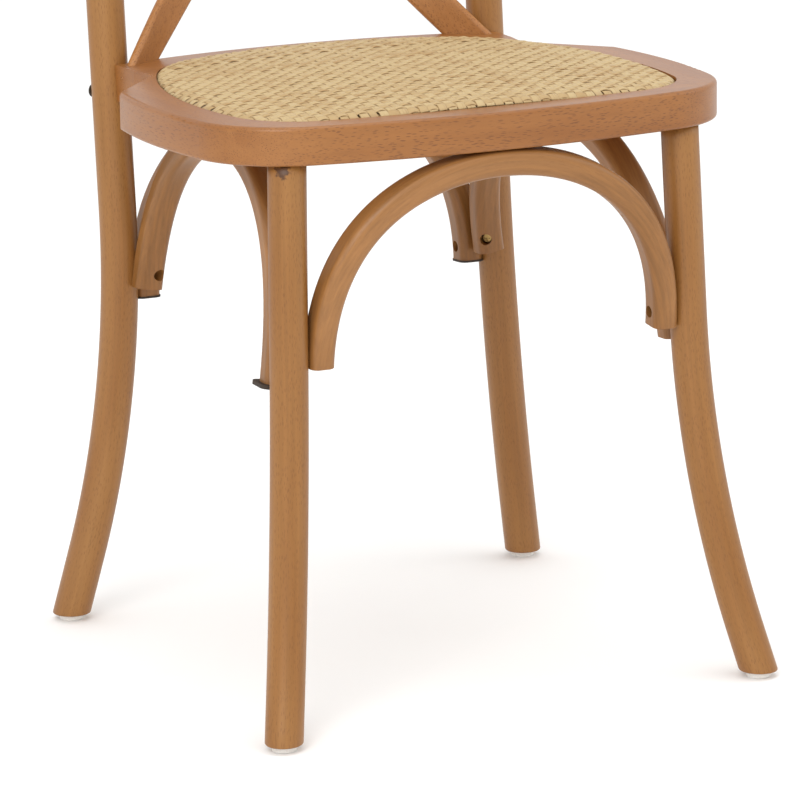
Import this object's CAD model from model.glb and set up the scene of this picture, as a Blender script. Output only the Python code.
"""Looks of a bentwood cross-back dining chair with a woven rattan seat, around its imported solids."""

from math import cos, pi, radians, sin, tan

import bpy
import numpy as np
from bpy.props import FloatProperty, FloatVectorProperty, PointerProperty
from mathutils import Matrix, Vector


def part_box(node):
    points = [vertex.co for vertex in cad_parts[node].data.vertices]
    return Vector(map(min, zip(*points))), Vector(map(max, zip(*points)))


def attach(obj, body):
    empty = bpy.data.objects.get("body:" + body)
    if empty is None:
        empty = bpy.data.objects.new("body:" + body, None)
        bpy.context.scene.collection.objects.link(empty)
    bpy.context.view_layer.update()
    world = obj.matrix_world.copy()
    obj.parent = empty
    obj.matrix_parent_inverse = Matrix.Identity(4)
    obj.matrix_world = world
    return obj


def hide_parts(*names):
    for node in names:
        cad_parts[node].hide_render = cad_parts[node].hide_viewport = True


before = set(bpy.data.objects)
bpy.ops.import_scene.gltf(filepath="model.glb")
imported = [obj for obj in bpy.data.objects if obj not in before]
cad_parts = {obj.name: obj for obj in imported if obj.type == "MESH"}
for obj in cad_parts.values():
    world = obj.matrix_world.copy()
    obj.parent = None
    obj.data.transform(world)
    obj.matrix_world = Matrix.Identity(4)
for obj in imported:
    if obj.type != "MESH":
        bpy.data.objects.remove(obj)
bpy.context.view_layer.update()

bl_info = {
    "name": "Bentwood chair looks",
    "version": (1, 0, 0),
    "blender": (4, 5, 0),
    "location": "View3D > Sidebar > Chair",
    "description": "Bends the rods, weaves the seat and finishes the wood of a cross-back dining chair",
    "category": "Object",
}

BODY = "root"

# Rings in the rounded edge at a rod's foot
FOOT_RINGS = 4

# Index of refraction of lacquered wood and of rattan
WOOD_IOR = 1.5

# The sizes below are measured with the rear glides at this depth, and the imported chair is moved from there
MEASURED_REAR_GLIDE_Y = 0.20198


def depth_shift():
    """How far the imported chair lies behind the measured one."""
    low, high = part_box("glide_rear_right")
    return (low[1] + high[1]) / 2 - MEASURED_REAR_GLIDE_Y


def linear(text):
    """Linear colour of an sRGB hex value."""
    channels = np.array([int(text[place:place + 2], 16) for place in (1, 3, 5)]) / 255
    low = channels / 12.92
    high = ((channels + 0.055) / 1.055) ** 2.4
    return tuple(float(value) for value in np.where(channels <= 0.04045, low, high))


def length(name, default, description):
    """A size in metres."""
    return FloatProperty(name=name, description=description, default=default, min=0.0, precision=4,
                         subtype="DISTANCE", unit="LENGTH")


def place(name, default, description):
    """A point in metres."""
    return FloatVectorProperty(name=name, description=description, default=default, size=3, precision=4,
                               subtype="TRANSLATION", unit="LENGTH")


def colour(name, text, description):
    """A colour, given in sRGB."""
    return FloatVectorProperty(name=name, description=description, default=linear(text), size=3,
                               subtype="COLOR", min=0.0, max=1.0)


def depth_setting(name, default, description):
    """A place from front to back, in metres."""
    return FloatProperty(name=name, description=description, default=default, precision=4, unit="LENGTH")


def angle_setting(name, default, description):
    """An angle in radians."""
    return FloatProperty(name=name, description=description, default=default, subtype="ANGLE",
                         unit="ROTATION")


def power_setting(name, default, description):
    """The power of a light in watts."""
    return FloatProperty(name=name, description=description, default=default, min=0.0, unit="POWER")


class ChairRods(bpy.types.PropertyGroup):
    """Axes and thickness of the bent rods, on the right-hand side of the chair."""

    hoop_diameter: length("Hoop rod", 0.030, "Diameter of the rod of the back hoop")
    leg_diameter: length("Front leg rod", 0.029, "Diameter of the front legs")
    foot_height: length("Foot height", 0.005, "Height of the rods' lower ends, on top of the glides")
    foot_round: length("Foot rounding", 0.0015, "Radius of the edge at the rods' lower ends")
    knee_radius: length("Knee radius", 0.840, "Radius of the bend in each leg")
    front_foot: place("Front foot", (0.2025, -0.2095, 0.0), "Where a front leg's axis meets the floor")
    front_knee: place("Front knee", (0.1718, -0.1615, 0.155), "Corner of the bend in a front leg")
    front_top: place("Front leg top", (0.164, -0.151, 0.428), "Where a front leg meets the seat")
    tenon_diameter: length("Tenon", 0.018, "Diameter of the tenon on a front leg")
    tenon_length: length("Tenon length", 0.015, "Length of the tenon on a front leg")
    rear_foot: place("Rear foot", (0.2075, 0.203, 0.0), "Where a rear leg's axis meets the floor")
    rear_knee: place("Rear knee", (0.167, 0.163, 0.196), "Corner of the bend in a rear leg")
    back_bend_height: length("Back bend", 0.560, "Height at which the posts lean further back")
    back_bend_radius: length("Back bend radius", 0.900, "Radius of that bend")
    post_lean: angle_setting("Post lean", radians(4.5), "Lean of the posts at the seat")
    back_lean: angle_setting("Back lean", radians(8.8), "Lean of the upper back")
    corner_radius: length("Hoop corner", 0.120, "Radius of the hoop's upper corners")
    crown_rise: length("Crown rise", 0.025, "Rise of the hoop's crown above its corners")
    overall_height: length("Overall height", 0.885, "Height of the top of the hoop")


class ChairWeave(bpy.types.PropertyGroup):
    """Outline and strips of the woven seat panel."""

    front: depth_setting("Front edge", -0.160, "Depth of the front edge at its middle")
    rear: depth_setting("Rear edge", 0.171, "Depth of the rear edge at its middle")
    widest: depth_setting("Widest place", -0.040, "Depth at which the panel is widest")
    width: length("Width", 0.380, "Greatest width of the panel")
    front_bow: length("Front bow", 1.210, "Radius of the front edge")
    rear_bow: length("Rear bow", 0.393, "Radius of the rear edge")
    side_bow: length("Side bow", 0.355, "Radius of the side edges")
    front_corner: length("Front corner", 0.060, "Radius of the front corners")
    rear_corner: length("Rear corner", 0.080, "Radius of the rear corners")
    gap: length("Gap", 0.0005, "Gap between the strips and the wooden ring")
    top: length("Top", 0.466, "Height of the middle of the weave")
    dome: length("Dome radius", 3.0, "Radius of the dome of the seat")
    roll_width: length("Edge roll", 0.009, "Width over which the weave rolls down at its edge")
    roll_depth: length("Edge depth", 0.0050, "Depth to which the weave rolls down at its edge")
    warp_pitch: length("Warp pitch", 0.0078, "Distance between the strips that run from front to back")
    weft_pitch: length("Weft pitch", 0.0077, "Distance between the strips that run across")
    warp_width: length("Warp width", 0.0072, "Width of the strips that run from front to back")
    weft_width: length("Weft width", 0.0070, "Width of the strips that run across")
    strip_thickness: length("Strip thickness", 0.0013, "Thickness of a strip")
    warp_wave: length("Warp wave", 0.0006, "How far a strip from front to back rises and dips")
    weft_wave: length("Weft wave", 0.0009, "How far a strip across rises and dips")
    bed_depth: length("Bed depth", 0.0018, "Depth of the padding's cover below the weave's middle layer")


class ChairColours(bpy.types.PropertyGroup):
    """Colours of the finishes."""

    beech_light: colour("Light beech", "#9a6c39", "Light grain of lacquered beech")
    beech_dark: colour("Dark beech", "#875724", "Dark grain of lacquered beech")
    beech_fleck: colour("Beech fleck", "#5f3416", "Short flecks in beech")
    arch_light: colour("Light arch", "#98693a", "Light grain of the steamed arches")
    arch_dark: colour("Dark arch", "#7f5324", "Dark grain of the steamed arches")
    slat_light: colour("Light slat", "#b47e4d", "Light grain of the crossed slats")
    slat_dark: colour("Dark slat", "#9d6733", "Dark grain of the crossed slats")
    rail_light: colour("Light rail", "#99632e", "Light grain of the seat ring")
    rail_dark: colour("Dark rail", "#89531f", "Dark grain of the seat ring")
    knot: colour("Knot", "#4a2c18", "Small dark knot in a front leg")
    straw_light: colour("Light straw", "#bda578", "Bright strips of rattan")
    straw_dark: colour("Dark straw", "#a98959", "Dull strips of rattan")
    straw_mark: colour("Straw mark", "#82522f", "Dark fibres in rattan")
    bare_light: colour("Bare wood", "#c9a87e", "Bare beech and birch")
    bare_dark: colour("Bare dark wood", "#a98559", "Glue lines and late wood")
    zinc: colour("Yellow zinc", "#b8a063", "Yellow zinc plate")
    bronze: colour("Bronze", "#453525", "Dark bronze plate")
    steel: colour("Steel", "#a3a3a0", "Plain steel")
    rubber: colour("Rubber", "#201d1b", "Black rubber")
    plastic: colour("Plastic", "#dcd6cc", "Pale moulded plastic")
    floor: colour("Floor", "#fbfbfa", "Studio floor")


class ChairStage(bpy.types.PropertyGroup):
    """Camera and light of the studio."""

    eye: place("Camera", (-1.548949, -3.246341, 1.040894), "Place of the camera")
    yaw: angle_setting("Yaw", 0.4443555, "Turn of the camera from straight back towards the right")
    pitch: angle_setting("Pitch", 0.2296123, "Dip of the camera below level")
    roll: angle_setting("Roll", -0.0157553, "Turn of the picture")
    lens: FloatProperty(name="Lens", description="Focal length on a sensor 36 mm wide", default=211.5,
                        unit="CAMERA")
    sky: FloatProperty(name="Sky", description="Strength of the even white light from all round",
                       default=1.0, min=0.0, max=1.0, subtype="FACTOR")
    key: power_setting("Key light", 66.0, "Power of the large light at the front left")
    fill: power_setting("Fill light", 10.0, "Power of the large light at the right")
    top: power_setting("Top light", 20.0, "Power of the large light above the seat")


# Shapes


def turned(vectors):
    """Vectors made one unit long."""
    return vectors / np.linalg.norm(vectors, axis=-1, keepdims=True)


def run(start, end, step):
    """Evenly spaced points from start towards end, without the end itself."""
    count = max(1, int(np.ceil(np.linalg.norm(end - start) / step)))
    return start + (end - start) * np.arange(count)[:, None] / count


def bent_axis(corners, radii, step):
    """Straight runs through corner points, joined by arcs that touch both runs.

    The arc at a corner starts and ends radius x tan(half its turn) from the corner, and its centre lies on
    the line that halves the corner. An arc's points divide its turn evenly, into at least six.
    """
    points = []
    start = corners[0]
    for before, corner, after, radius in zip(corners, corners[1:], corners[2:], radii):
        back = turned(before - corner)
        onward = turned(after - corner)
        half = (pi - np.arccos(np.clip(back @ onward, -1.0, 1.0))) / 2
        first = corner + back * radius * tan(half)
        last = corner + onward * radius * tan(half)
        centre = corner + turned(back + onward) * radius / cos(half)
        points.append(run(start, first, step))
        count = max(6, int(np.ceil(2 * half * radius / step)))
        angle = 2 * half * np.arange(count)[:, None] / count
        points.append(centre + (np.sin(2 * half - angle) * (first - centre) + np.sin(angle) * (last - centre))
                      / sin(2 * half))
        start = last
    points.append(run(start, corners[-1], step))
    points.append(corners[-1][None])
    axis = np.concatenate(points)
    # Where two arcs meet with no straight between them, their shared point is kept once
    apart = np.linalg.norm(np.diff(axis, axis=0), axis=1) > step / 100
    return axis[np.append(True, apart)]


def rod_rings(axis, radius, sides):
    """Rings of points round an axis, square to it, with their own coordinates in the grain of the wood.

    A ring is the centre plus radius x (cos a x N + sin a x B), where N is the chair's depth axis made square
    to the axis. The grain coordinates are that pair of offsets and the length along the axis.
    """
    steps = np.diff(axis, axis=0)
    ways = turned(steps)
    tangent = turned(np.concatenate([ways[:1], ways[:-1] + ways[1:], ways[-1:]]))
    depth = np.array([0.0, 1.0, 0.0])
    normal = turned(depth - tangent * (tangent @ depth)[:, None])
    binormal = np.cross(tangent, normal)
    along = np.concatenate([[0.0], np.cumsum(np.linalg.norm(steps, axis=1))])
    angle = np.linspace(0.0, 2 * pi, sides, endpoint=False)
    offset = radius * np.stack([np.cos(angle), np.sin(angle)], -1)
    rings = axis[:, None] + offset[None, :, :1] * normal[:, None] + offset[None, :, 1:] * binormal[:, None]
    grain = np.concatenate([np.broadcast_to(offset, (len(axis), sides, 2)),
                            np.broadcast_to(along[:, None, None], (len(axis), sides, 1))], -1)
    return rings, grain, tangent


def level_foot(ring, centre, tangent, edge, radius):
    """A rod's lower end cut level: the rings of a rounded edge from its flat face up to the full rod.

    Each ring is the rod's own ring, drawn in towards its centre and slid along the axis to one height.
    """
    turn = np.linspace(0.0, pi / 2, FOOT_RINGS)
    scale = (radius - edge * (1 - np.sin(turn))) / radius
    heights = centre[2] + edge * (1 - np.cos(turn))
    drawn = centre + (ring - centre)[None] * scale[:, None, None]
    slide = (heights[:, None] - drawn[..., 2]) / tangent[2]
    return drawn + slide[..., None] * tangent


def grid_faces(rows, columns, blocks=1):
    """Four-sided faces of tubes, each of some rows of points round it, with both ends closed."""
    row = np.arange(rows - 1)[:, None] * columns
    column = np.arange(columns)[None]
    beside = (column + 1) % columns
    faces = np.stack([row + column, row + beside, row + beside + columns, row + column + columns], -1)
    faces = faces.reshape(-1, 4)
    size = rows * columns
    starts = np.arange(blocks) * size
    sides = (faces[None] + starts[:, None, None]).reshape(-1, 4)
    low = starts[:, None] + np.arange(columns)[::-1]
    high = starts[:, None] + size - columns + np.arange(columns)
    return sides.tolist() + low.tolist() + high.tolist()


def make_piece(name, points, faces, finish, patterns):
    """A mesh piece at the origin that rides on the chair, with vector attributes for its pattern."""
    mesh = bpy.data.meshes.new(name)
    mesh.from_pydata(points.reshape(-1, 3).tolist(), [], faces)
    mesh.polygons.foreach_set("use_smooth", np.ones(len(mesh.polygons), bool))
    for attribute, values in patterns.items():
        pattern = mesh.attributes.new(attribute, "FLOAT_VECTOR", "POINT")
        pattern.data.foreach_set("vector", values.astype(np.float32).reshape(-1))
    mesh.materials.append(finish)
    mesh.update()
    piece = bpy.data.objects.new(name, mesh)
    bpy.context.scene.collection.objects.link(piece)
    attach(piece, BODY)
    return piece


# Finishes


def put(tree, kind, links=None, **settings):
    """Add a node, set its properties, and give its inputs a value or a link."""
    node = tree.nodes.new(kind)
    for name, value in settings.items():
        setattr(node, name, value)
    for socket, source in (links or {}).items():
        if isinstance(source, bpy.types.NodeSocket):
            tree.links.new(source, node.inputs[socket])
        else:
            node.inputs[socket].default_value = source
    return node


def new_finish(name):
    """An empty material with its shader."""
    finish = bpy.data.materials.new(name)
    finish.use_nodes = True
    tree = finish.node_tree
    tree.nodes.clear()
    shader = put(tree, "ShaderNodeBsdfPrincipled")
    put(tree, "ShaderNodeOutputMaterial", {"Surface": shader.outputs["BSDF"]})
    return finish, tree, shader


def spread(tree, vector, across, along):
    """Coordinates counted in cells of a size across the grain and a length along it."""
    cells = (1 / across, 1 / across, 1 / along)
    return put(tree, "ShaderNodeVectorMath", {0: vector, 1: cells}, operation="MULTIPLY").outputs[0]


def opaque(value):
    """A colour with its alpha."""
    return (*value, 1.0)


def grain_of_rod(tree):
    """Grain that follows a bent rod."""
    return put(tree, "ShaderNodeAttribute", attribute_name="grain").outputs["Vector"]


def grain_along(turn):
    """Grain that runs straight in the wood, which is turned so that its length becomes the third axis."""

    def make(tree):
        spot = put(tree, "ShaderNodeTexCoord").outputs["Object"]
        return put(tree, "ShaderNodeMapping", {"Vector": spot, "Rotation": turn}).outputs["Vector"]

    return make


def grain_of_arch(centre, across, sideways, radius):
    """Grain that follows an arch: the angle round its centre times its radius is the length along it."""

    def make(tree):
        spot = put(tree, "ShaderNodeTexCoord").outputs["Object"]
        offset = put(tree, "ShaderNodeVectorMath", {0: spot, 1: centre}, operation="SUBTRACT").outputs[0]
        axes = put(tree, "ShaderNodeSeparateXYZ", {0: offset}).outputs
        angle = put(tree, "ShaderNodeMath", {0: axes[sideways], 1: axes["Z"]}, operation="ARCTAN2").outputs[0]
        run_length = put(tree, "ShaderNodeMath", {0: angle, 1: radius}, operation="MULTIPLY").outputs[0]
        flat = put(tree, "ShaderNodeCombineXYZ", {0: axes[sideways], 1: axes["Z"]}).outputs[0]
        reach = put(tree, "ShaderNodeVectorMath", {0: flat}, operation="LENGTH").outputs["Value"]
        return put(tree, "ShaderNodeCombineXYZ", {0: reach, 1: axes[across], 2: run_length}).outputs[0]

    return make


def beech(name, tones, grain, fleck_size, fleck_share, streak_share, lacquer, knot=None):
    """Steam-bent or sawn beech under clear satin lacquer.

    Beech is even and warm, with soft streaks a few millimetres wide along the grain and short darker flecks,
    and the lacquer gives it a low, soft shine.
    """
    light, dark, fleck = tones
    finish, tree, shader = new_finish(name)
    vector = grain(tree)
    # Broad drift of tone: about 25 mm across and 250 mm along the grain
    drift = put(tree, "ShaderNodeTexNoise", {"Vector": spread(tree, vector, 0.025, 0.25), "Scale": 1.0,
                                             "Detail": 2.0}).outputs["Fac"]
    # Streaks: about 2.5 mm across and 120 mm along
    streak = put(tree, "ShaderNodeTexNoise", {"Vector": spread(tree, vector, 0.0025, 0.12), "Scale": 1.0,
                                              "Detail": 3.0}).outputs["Fac"]
    # Flecks: about half as wide and as long as their cells, one in each cell cut near its middle
    cell = put(tree, "ShaderNodeTexVoronoi", {"Vector": spread(tree, vector, *fleck_size), "Scale": 1.0,
                                              "Randomness": 1.0}, feature="F1").outputs["Distance"]
    dash = put(tree, "ShaderNodeMapRange", {"Value": cell, "From Min": 0.18, "From Max": 0.40, "To Min": 1.0,
                                            "To Max": 0.0}, interpolation_type="SMOOTHSTEP").outputs[0]
    # Patches with more and fewer flecks, about 12 mm across and 60 mm along
    patch = put(tree, "ShaderNodeTexNoise", {"Vector": spread(tree, vector, 0.012, 0.06),
                                             "Scale": 1.0}).outputs["Fac"]
    dense = put(tree, "ShaderNodeMapRange", {"Value": patch, "From Min": 0.35, "From Max": 0.65,
                                             "To Min": 0.5 * fleck_share, "To Max": fleck_share}).outputs[0]
    strength = put(tree, "ShaderNodeMath", {0: dash, 1: dense}, operation="MULTIPLY").outputs[0]
    tone = put(tree, "ShaderNodeMapRange", {"Value": drift, "From Min": 0.3, "From Max": 0.7}).outputs[0]
    base = put(tree, "ShaderNodeMix", {0: tone, 6: opaque(dark), 7: opaque(light)},
               data_type="RGBA").outputs[2]
    line = put(tree, "ShaderNodeMapRange", {"Value": streak, "From Min": 0.3, "From Max": 0.7,
                                            "To Min": 1 - streak_share,
                                            "To Max": 1 + streak_share}).outputs[0]
    shade = put(tree, "ShaderNodeCombineXYZ", {0: line, 1: line, 2: line}).outputs[0]
    streaked = put(tree, "ShaderNodeMix", {0: 1.0, 6: base, 7: shade}, data_type="RGBA",
                   blend_type="MULTIPLY").outputs[2]
    wood = put(tree, "ShaderNodeMix", {0: strength, 6: streaked, 7: opaque(fleck)},
               data_type="RGBA").outputs[2]
    if knot:
        wood = with_knot(tree, wood, *knot)
    tree.links.new(wood, shader.inputs["Base Color"])
    dull = put(tree, "ShaderNodeMapRange", {"Value": streak, "To Min": 0.40, "To Max": 0.52}).outputs[0]
    tree.links.new(dull, shader.inputs["Roughness"])
    pores = put(tree, "ShaderNodeMath", {0: dash, 1: streak}, operation="SUBTRACT").outputs[0]
    bump = put(tree, "ShaderNodeBump", {"Height": pores, "Strength": 0.06, "Distance": 0.0004}, invert=True)
    tree.links.new(bump.outputs[0], shader.inputs["Normal"])
    shader.inputs["IOR"].default_value = WOOD_IOR
    shader.inputs["Specular IOR Level"].default_value = 0.35
    shader.inputs["Coat Weight"].default_value = lacquer
    shader.inputs["Coat Roughness"].default_value = 0.22
    return finish


def with_knot(tree, wood, middle, radius, dark):
    """Wood with a dark knot at a place, whose edge is ragged by a noise of about 4 mm."""
    spot = put(tree, "ShaderNodeTexCoord").outputs["Object"]
    ragged = put(tree, "ShaderNodeTexNoise", {"Vector": spot, "Scale": 1 / 0.004,
                                              "Detail": 3.0}).outputs["Fac"]
    swing = put(tree, "ShaderNodeMath", {0: ragged, 1: 2.4 * radius, 2: -1.2 * radius},
                operation="MULTIPLY_ADD").outputs[0]
    away = put(tree, "ShaderNodeVectorMath", {0: spot, 1: middle}, operation="DISTANCE").outputs["Value"]
    reach = put(tree, "ShaderNodeMath", {0: away, 1: swing}, operation="ADD").outputs[0]
    inside = put(tree, "ShaderNodeMapRange", {"Value": reach, "From Min": 0.55 * radius, "From Max": radius,
                                              "To Min": 0.9, "To Max": 0.0},
                 interpolation_type="SMOOTHSTEP").outputs[0]
    return put(tree, "ShaderNodeMix", {0: inside, 6: wood, 7: opaque(dark)}, data_type="RGBA").outputs[2]


def rattan(name, colours):
    """Dry split rattan, woven and left unlacquered.

    Each strip has its own straw tone and fine dark fibres along it, with a dull shine on its rounded skin.
    Dust and shade darken its edges and the places where it dips below another strip.
    """
    finish, tree, shader = new_finish(name)
    light, dark, stain = map(opaque, (colours.straw_light, colours.straw_dark, colours.straw_mark))
    vector = put(tree, "ShaderNodeAttribute", attribute_name="strip").outputs["Vector"]
    shade = put(tree, "ShaderNodeAttribute", attribute_name="shade").outputs["Vector"]
    edge, dip, own = put(tree, "ShaderNodeSeparateXYZ", {0: shade}).outputs
    # Fibres: about 0.7 mm across and 25 mm along, drawn coarser than real ones so that they show
    fibre = put(tree, "ShaderNodeTexNoise", {"Vector": spread(tree, vector, 0.0007, 0.025), "Scale": 1.0,
                                             "Detail": 2.0}).outputs["Fac"]
    # Tone along a strip: changes over about 40 mm, and from strip to strip
    tone = put(tree, "ShaderNodeTexNoise", {"Vector": spread(tree, vector, 0.02, 0.04), "Scale": 1.0,
                                            "Detail": 2.0}).outputs["Fac"]
    mixed = put(tree, "ShaderNodeMath", {0: tone, 1: own}, operation="ADD").outputs[0]
    bright = put(tree, "ShaderNodeMapRange", {"Value": mixed, "From Min": 0.3, "From Max": 1.1}).outputs[0]
    straw = put(tree, "ShaderNodeMix", {0: bright, 6: dark, 7: light}, data_type="RGBA").outputs[2]
    rim = put(tree, "ShaderNodeMapRange", {"Value": edge, "From Min": 0.82, "From Max": 1.0, "To Min": 0.0,
                                           "To Max": 0.42}).outputs[0]
    low = put(tree, "ShaderNodeMapRange", {"Value": dip, "From Min": 0.3, "From Max": 1.0, "To Min": 0.0,
                                           "To Max": 0.24}).outputs[0]
    dusty = put(tree, "ShaderNodeMath", {0: rim, 1: low}, operation="MAXIMUM").outputs[0]
    dusted = put(tree, "ShaderNodeMix", {0: dusty, 6: straw, 7: stain}, data_type="RGBA").outputs[2]
    mark = put(tree, "ShaderNodeMapRange", {"Value": fibre, "From Min": 0.58, "From Max": 0.78, "To Min": 0.0,
                                            "To Max": 0.55}).outputs[0]
    marked = put(tree, "ShaderNodeMix", {0: mark, 6: dusted, 7: stain}, data_type="RGBA").outputs[2]
    tree.links.new(marked, shader.inputs["Base Color"])
    bump = put(tree, "ShaderNodeBump", {"Height": fibre, "Strength": 0.3, "Distance": 0.0003})
    tree.links.new(bump.outputs[0], shader.inputs["Normal"])
    dull = put(tree, "ShaderNodeMapRange", {"Value": fibre, "To Min": 0.5, "To Max": 0.65}).outputs[0]
    tree.links.new(dull, shader.inputs["Roughness"])
    shader.inputs["IOR"].default_value = WOOD_IOR
    return finish


def speckled(name, tones, grain, metal, dullness, relief):
    """A small fitting's surface: two close tones in grains of a size, with a roughness that varies.

    Plated steel shows faint tumbling marks, rubber a dusty grain and moulded plastic a fine spark texture.
    """
    finish, tree, shader = new_finish(name)
    spot = put(tree, "ShaderNodeTexCoord").outputs["Object"]
    grit = put(tree, "ShaderNodeTexNoise", {"Vector": spot, "Scale": 1 / grain, "Detail": 3.0}).outputs["Fac"]
    first, second = map(opaque, tones)
    base = put(tree, "ShaderNodeMix", {0: grit, 6: first, 7: second}, data_type="RGBA").outputs[2]
    tree.links.new(base, shader.inputs["Base Color"])
    low, high = dullness
    dull = put(tree, "ShaderNodeMapRange", {"Value": grit, "To Min": low, "To Max": high}).outputs[0]
    tree.links.new(dull, shader.inputs["Roughness"])
    bump = put(tree, "ShaderNodeBump", {"Height": grit, "Strength": 0.2, "Distance": relief})
    tree.links.new(bump.outputs[0], shader.inputs["Normal"])
    shader.inputs["Metallic"].default_value = metal
    return finish


def birch_plywood(name, light, dark):
    """Bare birch plywood: plies 1.5 mm thick, whose glue lines show as dark bands 0.3 mm wide on the edge."""
    finish, tree, shader = new_finish(name)
    spot = put(tree, "ShaderNodeTexCoord").outputs["Object"]
    height = put(tree, "ShaderNodeSeparateXYZ", {0: spot}).outputs["Z"]
    ply = put(tree, "ShaderNodeMath", {0: height, 1: 0.0015}, operation="PINGPONG").outputs[0]
    glue = put(tree, "ShaderNodeMapRange", {"Value": ply, "From Min": 0.0, "From Max": 0.0003}).outputs[0]
    veneer = put(tree, "ShaderNodeTexNoise", {"Vector": spread(tree, spot, 0.05, 0.004),
                                              "Scale": 1.0}).outputs["Fac"]
    wood = put(tree, "ShaderNodeMix", {0: veneer, 6: opaque(dark), 7: opaque(light)},
               data_type="RGBA").outputs[2]
    board = put(tree, "ShaderNodeMix", {0: glue, 6: opaque(dark), 7: wood}, data_type="RGBA").outputs[2]
    tree.links.new(board, shader.inputs["Base Color"])
    dull = put(tree, "ShaderNodeMapRange", {"Value": veneer, "To Min": 0.6, "To Max": 0.75}).outputs[0]
    tree.links.new(dull, shader.inputs["Roughness"])
    return finish


def coat(node, finish):
    """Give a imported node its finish."""
    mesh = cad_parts[node].data
    mesh.materials.clear()
    mesh.materials.append(finish)


# Pieces


class CHAIR_OT_bend_rods(bpy.types.Operator):
    """Bend the back hoop and both front legs as smooth rods whose grain follows the bends"""

    bl_idname = "chair.bend_rods"
    bl_label = "Bend the rods"

    STEP = 0.010
    SIDES = 48
    FLECK = (0.0010, 0.0055)
    FLECK_SHARE = 0.4
    STREAK_SHARE = 0.07
    LACQUER = 0.15
    KNOT_PLACE = (-0.1724, -0.1628, 0.4245)
    KNOT_RADIUS = 0.0065

    def execute(self, context):
        sizes = context.scene.chair_rods
        colours = context.scene.chair_colours
        shift = np.array([0.0, depth_shift(), 0.0])
        tones = (colours.beech_light, colours.beech_dark, colours.beech_fleck)
        pattern = (tones, grain_of_rod, self.FLECK, self.FLECK_SHARE, self.STREAK_SHARE, self.LACQUER)
        wood = beech("lacquered beech rod", *pattern)
        knot = (tuple(np.array(self.KNOT_PLACE) + shift), self.KNOT_RADIUS, colours.knot)
        knotted = beech("lacquered beech rod with a knot", *pattern, knot)
        self.bend_hoop(sizes, shift, wood)
        self.bend_leg(sizes, shift, "front_leg_right", 1.0, wood)
        self.bend_leg(sizes, shift, "front_leg_left", -1.0, knotted)
        return {"FINISHED"}

    def finish_rod(self, node, rings, grain, wood):
        """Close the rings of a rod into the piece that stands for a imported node."""
        faces = grid_faces(len(rings), self.SIDES)
        piece = make_piece(node + "_rod", rings, faces, wood, {"grain": grain})
        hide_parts(node)

    def bend_hoop(self, sizes, shift, wood):
        """Axis from the right foot up the post, over the crown and down to the left foot."""
        radius = sizes.hoop_diameter / 2
        knee = np.array(sizes.rear_knee)
        foot = np.array(sizes.rear_foot)
        foot = foot + (knee - foot) * sizes.foot_height / knee[2]
        bend_y = knee[1] + (sizes.back_bend_height - knee[2]) * tan(sizes.post_lean)
        slope = turned(np.array([knee[0], sizes.crown_rise]))
        corner_reach = sizes.corner_radius * slope[0] / (1 + slope[1])
        crown_reach = np.hypot(knee[0], sizes.crown_rise) - corner_reach
        crown_radius = crown_reach * slope[0] / slope[1]
        crown_cut = crown_radius / slope[0] - crown_radius
        peak = (sizes.overall_height - radius - sizes.back_bend_height) / cos(sizes.back_lean) + crown_cut

        def on_back(x, rise):
            return np.array([x, bend_y + rise * sin(sizes.back_lean),
                             sizes.back_bend_height + rise * cos(sizes.back_lean)])

        side = [foot, knee, on_back(knee[0], 0.0), on_back(knee[0], peak - sizes.crown_rise)]
        flip = np.array([-1.0, 1.0, 1.0])
        corners = side + [on_back(0.0, peak)] + [point * flip for point in side[::-1]]
        bends = [sizes.knee_radius, sizes.back_bend_radius, sizes.corner_radius]
        axis = bent_axis(corners, bends + [crown_radius] + bends[::-1], self.STEP)
        rings, grain, tangent = rod_rings(axis, radius, self.SIDES)
        first = level_foot(rings[0], axis[0], tangent[0], sizes.foot_round, radius)
        last = level_foot(rings[-1], axis[-1], tangent[-1], sizes.foot_round, radius)[::-1]
        rings = np.concatenate([first, rings[1:-1], last]) + shift
        grain = np.concatenate([np.repeat(grain[:1], len(first), 0), grain[1:-1],
                                np.repeat(grain[-1:], len(last), 0)])
        self.finish_rod("back_hoop", rings, grain, wood)

    def bend_leg(self, sizes, shift, node, side, wood):
        """Axis from the foot through the knee to the seat, then the tenon."""
        radius = sizes.leg_diameter / 2
        flip = np.array([side, 1.0, 1.0])
        knee = np.array(sizes.front_knee) * flip
        foot = np.array(sizes.front_foot) * flip
        foot = foot + (knee - foot) * sizes.foot_height / knee[2]
        top = np.array(sizes.front_top) * flip
        axis = bent_axis([foot, knee, top], [sizes.knee_radius], self.STEP)
        rings, grain, tangent = rod_rings(axis, radius, self.SIDES)
        first = level_foot(rings[0], axis[0], tangent[0], sizes.foot_round, radius)
        slide = (top[2] - rings[-1][:, 2]) / tangent[-1][2]
        shoulder = rings[-1] + slide[:, None] * tangent[-1]
        neck = top + (shoulder - top) * sizes.tenon_diameter / sizes.leg_diameter
        tip = neck + np.array([0.0, 0.0, sizes.tenon_length])
        rings = np.concatenate([first, rings[1:-1], [shoulder, neck, tip]]) + shift
        tail = grain[-1:] + np.array([0.0, 0.0, sizes.tenon_length])
        grain = np.concatenate([np.repeat(grain[:1], len(first), 0), grain[1:], grain[-1:], tail])
        self.finish_rod(node, rings, grain, wood)


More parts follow.
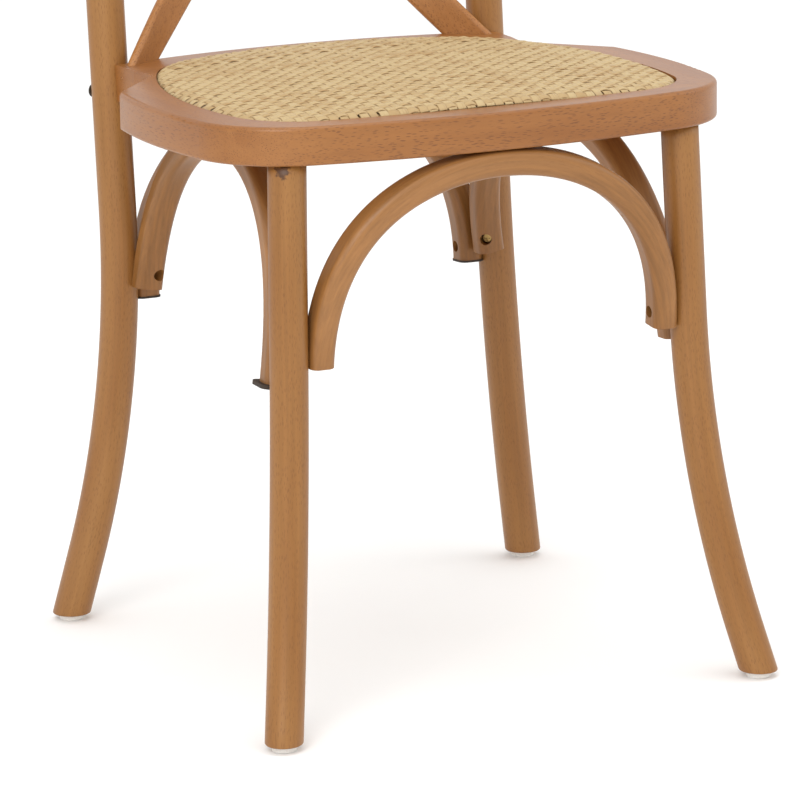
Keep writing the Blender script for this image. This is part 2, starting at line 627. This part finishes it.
class CHAIR_OT_weave_seat(bpy.types.Operator):
    """Weave the domed rattan panel from strips that pass over and under each other"""

    bl_idname = "chair.weave_seat"
    bl_label = "Weave the seat"

    SEED = 11
    STATIONS_PER_CROSSING = 4
    SECTION_POINTS = 8
    # Powers that flatten a strip's oval, across it and through it
    OVAL_POWERS = (0.6, 0.8)
    # Points along a line at which a strip's ends are looked for
    END_POINTS = 1600
    # How far inside the outline a strip has to be, and how far its ends then reach, as shares of its width
    END_ROOM = 0.35
    END_REACH = 0.3
    # Stations over which the wave dies away at a strip's ends
    END_CALM = 3
    # Uneven hand work: spread of a strip's place, height (m) and width (share)
    PLACE_SPREAD = 0.00022
    HEIGHT_SPREAD = 0.00012
    WIDTH_SPREAD = 0.04
    # Keeps the fibres of neighbouring strips apart in the noise
    FIBRE_STRIDE = 7
    # Halvings that find the outline, and the rings of the bed as shares of its reach
    HALVINGS = 40
    BED_SIDES = 180
    BED_RINGS = (0.02, 1.0, 1.0, 0.985, 0.97, 0.955, 0.94, 0.9, 0.8, 0.6, 0.4, 0.2, 0.02)

    def execute(self, context):
        sizes = context.scene.chair_weave
        straw = rattan("woven split rattan", context.scene.chair_colours)
        chance = np.random.default_rng(self.SEED)
        self.weave(sizes, straw, chance, "rattan_warps", 1, sizes.warp_pitch, sizes.warp_width,
                   sizes.weft_pitch, sizes.warp_wave)
        self.weave(sizes, straw, chance, "rattan_wefts", 0, sizes.weft_pitch, sizes.weft_width,
                   sizes.warp_pitch, sizes.weft_wave)
        self.lay_bed(sizes, straw)
        return {"FINISHED"}

    @staticmethod
    def outside(sizes, spots):
        """Distance of plan points from the panel's outline, below zero inside.

        The outline is four arcs, so the distance is the greatest of (distance to an arc's centre - its
        radius), and in the wedge of a rounded corner it is the distance to that corner's centre - its radius.
        """
        side = sizes.width / 2 - sizes.side_bow
        front = np.array([0.0, sizes.front + sizes.front_bow])
        rear = np.array([0.0, sizes.rear - sizes.rear_bow])
        mirrored = np.stack([np.abs(spots[..., 0]), spots[..., 1]], -1)
        right = np.array([side, sizes.widest])

        def beyond(centre, radius):
            return np.linalg.norm(mirrored - centre, axis=-1) - radius

        result = np.maximum(beyond(right, sizes.side_bow), beyond(front, sizes.front_bow))
        result = np.maximum(result, beyond(rear, sizes.rear_bow))
        for end, bow, corner in ((front, sizes.front_bow, sizes.front_corner),
                                 (rear, sizes.rear_bow, sizes.rear_corner)):
            near = sizes.side_bow - corner
            far = bow - corner
            apart = np.linalg.norm(end - right)
            way = (end - right) / apart
            forward = (near ** 2 - far ** 2 + apart ** 2) / (2 * apart)
            sideways = np.sqrt(near ** 2 - forward ** 2)
            normal = np.array([-way[1], way[0]])
            middle = max((right + way * forward + normal * sideways * sign for sign in (-1, 1)),
                         key=lambda spot: spot[0])
            walls = np.stack([turned(middle - right), turned(middle - end)], -1)
            shares = (mirrored - middle) @ np.linalg.inv(walls).T
            inside = (shares > 0).all(-1)
            result = np.where(inside, beyond(middle, corner), result)
        return result

    def height(self, sizes, spots):
        """Height of the weave's middle layer: a dome, rolled down by a quarter ellipse at the outline."""
        middle = np.array([0.0, (sizes.front + sizes.rear) / 2])
        away = ((spots - middle) ** 2).sum(-1)
        inset = np.clip(-self.outside(sizes, spots) / sizes.roll_width, 0.0, 1.0)
        roll = sizes.roll_depth * (1 - np.sqrt(1 - (1 - inset) ** 2))
        crown = sizes.top - sizes.strip_thickness / 2 - sizes.weft_wave
        return crown - away / (2 * sizes.dome) - roll

    def weave(self, sizes, straw, chance, name, run_axis, pitch, width, cross_pitch, swing):
        """Strips along one axis.

        A strip's point is (place across + a, place along, height there + wave + b), where the wave is
        +-cos(pi x place along / the other pitch), with its sign changed from strip to strip, and (a, b) goes
        round a flat oval.
        """
        across_axis = 1 - run_axis
        reach = max(sizes.width / 2, -sizes.front, sizes.rear)
        places = np.arange(-int(reach / pitch), int(reach / pitch) + 1) * pitch
        fine = np.linspace(-reach, reach, self.END_POINTS)
        spots = np.zeros((len(places), len(fine), 2))
        spots[..., across_axis] = places[:, None]
        spots[..., run_axis] = fine
        kept = self.outside(sizes, spots) < -sizes.gap - self.END_ROOM * width
        long_enough = kept.sum(1) * (fine[1] - fine[0]) > 2 * cross_pitch
        places, kept = places[long_enough], kept[long_enough]
        order = np.round(places / pitch).astype(int)
        starts = fine[kept.argmax(1)] - self.END_REACH * width
        ends = fine[kept.shape[1] - 1 - kept[:, ::-1].argmax(1)] + self.END_REACH * width
        count = int(2 * reach / cross_pitch * self.STATIONS_PER_CROSSING)
        share_along = np.linspace(0.0, 1.0, count)
        along = starts[:, None] + (ends - starts)[:, None] * share_along
        angle = np.linspace(0.0, 2 * pi, self.SECTION_POINTS, endpoint=False)
        flat_a, flat_b = self.OVAL_POWERS
        oval_a = width / 2 * np.sign(np.cos(angle)) * np.abs(np.cos(angle)) ** flat_a
        oval_b = sizes.strip_thickness / 2 * np.sign(np.sin(angle)) * np.abs(np.sin(angle)) ** flat_b
        if run_axis == 1:
            oval_b = -oval_b
        drift = chance.normal(0.0, self.PLACE_SPREAD, len(places))
        widths = 1 + chance.normal(0.0, self.WIDTH_SPREAD, len(places))
        shape = (len(places), count, self.SECTION_POINTS)
        plan = np.zeros((*shape, 2))
        plan[..., across_axis] = (places + drift)[:, None, None] + widths[:, None, None] * oval_a
        plan[..., run_axis] = along[..., None]
        sign = np.where((order + run_axis) % 2 == 0, 1.0, -1.0)
        cycle = sign[:, None] * np.cos(pi * along / cross_pitch)
        from_end = np.minimum(share_along, 1 - share_along) * count
        wave = swing * cycle * np.clip(from_end / self.END_CALM, 0.0, 1.0)
        lift = chance.normal(0.0, self.HEIGHT_SPREAD, (len(places), 1))
        level = self.height(sizes, plan) + (wave + lift)[..., None] + oval_b
        points = np.concatenate([plan, level[..., None]], -1)
        points[..., 1] += depth_shift()
        seed = chance.uniform(0.0, 1.0, len(places))
        values = np.zeros((*shape, 3))
        values[..., 0] = oval_a + places[:, None, None] * self.FIBRE_STRIDE
        values[..., 1] = seed[:, None, None]
        values[..., 2] = along[..., None]
        shade = np.zeros((*shape, 3))
        shade[..., 0] = np.abs(oval_a) / (width / 2)
        shade[..., 1] = -cycle[..., None]
        shade[..., 2] = seed[:, None, None]
        faces = grid_faces(count, self.SECTION_POINTS, len(places))
        piece = make_piece(name, points, faces, straw, {"strip": values, "shade": shade})
        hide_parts("rattan_panel")

    def lay_bed(self, sizes, straw):
        """The padding's cover below the strips: rings drawn in from the outline, closed below.

        The outline's reach in each direction is found by halving, where the distance to the outline is zero.
        """
        angle = np.linspace(0.0, 2 * pi, self.BED_SIDES, endpoint=False)
        ways = np.stack([np.cos(angle), np.sin(angle)], -1)
        middle = np.array([0.0, (sizes.front + sizes.rear) / 2])
        low, high = np.zeros(self.BED_SIDES), np.full(self.BED_SIDES, sizes.width)
        for _ in range(self.HALVINGS):
            half = (low + high) / 2
            within = self.outside(sizes, middle + ways * half[:, None]) < -sizes.gap
            low, high = np.where(within, half, low), np.where(within, high, half)
        drawn = np.array(self.BED_RINGS)
        plan = middle + ways * (drawn[:, None] * low)[..., None]
        level = self.height(sizes, plan) - sizes.bed_depth
        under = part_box("rattan_panel")[0][2]
        level[:2] = under
        points = np.concatenate([plan, level[..., None]], -1)
        points[..., 1] += depth_shift()
        values = np.concatenate([plan, np.zeros((*level.shape, 1))], -1)
        shade = np.ones_like(values)
        faces = grid_faces(len(drawn), self.BED_SIDES)
        piece = make_piece("rattan_bed", points, faces, straw, {"strip": values, "shade": shade})
        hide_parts("rattan_panel")


class CHAIR_OT_finish_wood(bpy.types.Operator):
    """Finish the seat ring, the arches, the slats, the dowels and the board"""

    bl_idname = "chair.finish_wood"
    bl_label = "Finish the wood"

    FLECK = (0.0011, 0.0080)
    ARCH_FOOT = 0.268
    ARCH_RADIUS = 0.140
    SLAT_LEAN = radians(41)
    # Each arch, the axis that it spans and the axis through its thickness
    ARCHES = (("front_arch", "X", "Y"), ("rear_arch", "X", "Y"),
              ("left_arch", "Y", "X"), ("right_arch", "Y", "X"))

    def execute(self, context):
        colours = context.scene.chair_colours
        rail = (colours.rail_light, colours.rail_dark, colours.beech_fleck)
        arch = (colours.arch_light, colours.arch_dark, colours.beech_fleck)
        slat = (colours.slat_light, colours.slat_dark, colours.beech_fleck)
        crosswise = grain_along((0.0, -pi / 2, 0.0))
        lengthwise = grain_along((pi / 2, 0.0, 0.0))
        across = beech("lacquered beech rail, grain across", rail, crosswise, self.FLECK,
                       fleck_share=0.75, streak_share=0.05, lacquer=0.35)
        fore_and_aft = beech("lacquered beech rail, grain front to back", rail, lengthwise, self.FLECK,
                             fleck_share=0.6, streak_share=0.05, lacquer=0.35)
        for node in ("seat_front_rail", "seat_rear_rail"):
            coat(node, across)
        for node in ("seat_left_rail", "seat_right_rail"):
            coat(node, fore_and_aft)
        for node, sideways, other in self.ARCHES:
            low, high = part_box(node)
            centre = ((low[0] + high[0]) / 2, (low[1] + high[1]) / 2, self.ARCH_FOOT)
            grain = grain_of_arch(centre, other, sideways, self.ARCH_RADIUS)
            coat(node, beech("steamed beech, " + node.replace("_", " "), arch, grain, self.FLECK,
                             fleck_share=0.15, streak_share=0.14, lacquer=0.15))
        for node, lean in (("slat_left_foot", -self.SLAT_LEAN), ("slat_right_foot", self.SLAT_LEAN)):
            grain = grain_along((0.0, lean, 0.0))
            coat(node, beech("lacquered beech, " + node.replace("_", " "), slat, grain, self.FLECK,
                             fleck_share=0.7, streak_share=0.07, lacquer=0.15))
        bare = (colours.bare_light, colours.bare_dark, colours.beech_fleck)
        for node in ("front_rail_dowels", "rear_rail_dowels"):
            coat(node, beech("bare beech, " + node.replace("_", " "), bare, lengthwise, self.FLECK,
                             fleck_share=0.2, streak_share=0.05, lacquer=0.0))
        coat("seat_board", birch_plywood("birch plywood", colours.bare_light, colours.bare_dark))
        return {"FINISHED"}


class CHAIR_OT_finish_fittings(bpy.types.Operator):
    """Finish the screws, bolts, pins, pads and glides"""

    bl_idname = "chair.finish_fittings"
    bl_label = "Finish the fittings"

    def execute(self, context):
        colours = context.scene.chair_colours
        zinc = speckled("yellow zinc plated steel", (colours.zinc, colours.bare_dark), grain=0.0015,
                        metal=1.0, dullness=(0.3, 0.45), relief=0.0001)
        bronze = speckled("bronzed steel", (colours.bronze, colours.rubber), grain=0.0015,
                          metal=0.9, dullness=(0.35, 0.5), relief=0.0001)
        steel = speckled("plain steel", (colours.steel, colours.plastic), grain=0.001,
                         metal=1.0, dullness=(0.3, 0.45), relief=0.0001)
        rubber = speckled("black rubber", (colours.rubber, colours.bronze), grain=0.002,
                          metal=0.0, dullness=(0.7, 0.85), relief=0.0002)
        plastic = speckled("pale moulded plastic", (colours.plastic, colours.floor), grain=0.002,
                           metal=0.0, dullness=(0.45, 0.6), relief=0.0001)
        finishes = {
            zinc: ("front_arch_screws", "rear_arch_screws", "left_arch_screws", "right_arch_screws",
                   "arch_crown_screws", "seat_board_screws", "slat_cross_screw"),
            bronze: ("post_bolts",),
            steel: ("post_insert_nuts", "slat_pins"),
            rubber: ("arch_end_pads",),
            plastic: ("glide_front_left", "glide_front_right", "glide_rear_left", "glide_rear_right"),
        }
        for finish, nodes in finishes.items():
            for node in nodes:
                coat(node, finish)
        return {"FINISHED"}


class CHAIR_OT_set_stage(bpy.types.Operator):
    """Set the floor, the soft light and the camera"""

    bl_idname = "chair.set_stage"
    bl_label = "Set the stage"

    FLOOR_HALF = 40.0
    SENSOR_WIDTH = 36.0
    CLIP_END = 200.0
    LIGHT_AIM = (0.0, 0.0, 0.35)
    # Name, place, size and the power's setting
    LIGHTS = (
        ("key light", (-2.4, -2.6, 2.9), 2.4, "key"),
        ("fill light", (3.0, -1.2, 2.0), 2.0, "fill"),
        ("top light", (0.3, -0.5, 3.4), 2.6, "top"),
    )

    def execute(self, context):
        scene = context.scene
        stage = scene.chair_stage
        self.lay_floor(scene)
        world = bpy.data.worlds.new("white studio")
        world.use_nodes = True
        background = world.node_tree.nodes["Background"]
        background.inputs["Color"].default_value = (1.0, 1.0, 1.0, 1.0)
        background.inputs["Strength"].default_value = stage.sky
        scene.world = world
        for name, spot, size, power in self.LIGHTS:
            light = bpy.data.lights.new(name, "AREA")
            light.shape = "DISK"
            light.size = size
            light.energy = getattr(stage, power)
            lamp = bpy.data.objects.new(name, light)
            aim = np.array(self.LIGHT_AIM) - np.array(spot)
            lamp.matrix_world = self.facing(np.array(spot), turned(aim), 0.0)
            scene.collection.objects.link(lamp)
        self.place_camera(scene, stage)
        scene.view_settings.view_transform = "Standard"
        return {"FINISHED"}

    def lay_floor(self, scene):
        """A wide pale floor with a faint matt grain."""
        half = self.FLOOR_HALF
        mesh = bpy.data.meshes.new("studio_floor")
        mesh.from_pydata([(-half, -half, 0.0), (half, -half, 0.0), (half, half, 0.0), (-half, half, 0.0)], [],
                         [(0, 1, 2, 3)])
        tone = scene.chair_colours.floor
        mesh.materials.append(speckled("matt white paper", (tone, tone), grain=0.4, metal=0.0,
                                       dullness=(0.8, 0.9), relief=0.0))
        floor = bpy.data.objects.new("studio_floor", mesh)
        scene.collection.objects.link(floor)

    @staticmethod
    def facing(spot, forward, roll):
        """Placement of a camera or light that looks along a direction, its top towards +Z and then rolled."""
        right = turned(np.cross(forward, (0.0, 0.0, 1.0)))
        top = np.cross(right, forward)
        across = right * cos(roll) + top * sin(roll)
        above = top * cos(roll) - right * sin(roll)
        matrix = np.eye(4)
        matrix[:3, 0], matrix[:3, 1], matrix[:3, 2], matrix[:3, 3] = across, above, -forward, spot
        return Matrix(matrix.tolist())

    def place_camera(self, scene, stage):
        """The camera that took the photograph, worked out from the chair's mirrored points."""
        forward = np.array([sin(stage.yaw) * cos(stage.pitch), cos(stage.yaw) * cos(stage.pitch),
                            -sin(stage.pitch)])
        spot = np.array(stage.eye) + np.array([0.0, depth_shift(), 0.0])
        camera = bpy.data.cameras.new("camera")
        camera.sensor_width = self.SENSOR_WIDTH
        camera.lens = stage.lens
        camera.clip_end = self.CLIP_END
        viewer = bpy.data.objects.new("camera", camera)
        viewer.matrix_world = self.facing(spot, forward, stage.roll)
        scene.collection.objects.link(viewer)
        scene.camera = viewer


MAKERS = (CHAIR_OT_bend_rods, CHAIR_OT_weave_seat, CHAIR_OT_finish_wood, CHAIR_OT_finish_fittings,
          CHAIR_OT_set_stage)
GROUPS = {"chair_rods": ChairRods, "chair_weave": ChairWeave, "chair_colours": ChairColours,
          "chair_stage": ChairStage}


class CHAIR_PT_looks(bpy.types.Panel):
    """The steps that dress the chair, and the sizes and colours that they use"""

    bl_label = "Bentwood chair"
    bl_idname = "CHAIR_PT_looks"
    bl_space_type = "VIEW_3D"
    bl_region_type = "UI"
    bl_category = "Chair"

    def draw(self, context):
        for maker in MAKERS:
            self.layout.operator(maker.bl_idname)
        for name, group in GROUPS.items():
            column = self.layout.column(align=True)
            for key in group.__annotations__:
                column.prop(getattr(context.scene, name), key)


def register():
    """Make the groups, the operators and the panel known."""
    for group in (*GROUPS.values(), *MAKERS, CHAIR_PT_looks):
        bpy.utils.register_class(group)
    for name, group in GROUPS.items():
        setattr(bpy.types.Scene, name, PointerProperty(type=group))


def unregister():
    """Take them away again."""
    for name in GROUPS:
        delattr(bpy.types.Scene, name)
    for group in (CHAIR_PT_looks, *reversed(MAKERS), *reversed(GROUPS.values())):
        bpy.utils.unregister_class(group)


def main():
    """Dress the chair."""
    register()
    bpy.ops.chair.bend_rods()
    bpy.ops.chair.weave_seat()
    bpy.ops.chair.finish_wood()
    bpy.ops.chair.finish_fittings()
    bpy.ops.chair.set_stage()


if __name__ == "__main__":
    main()
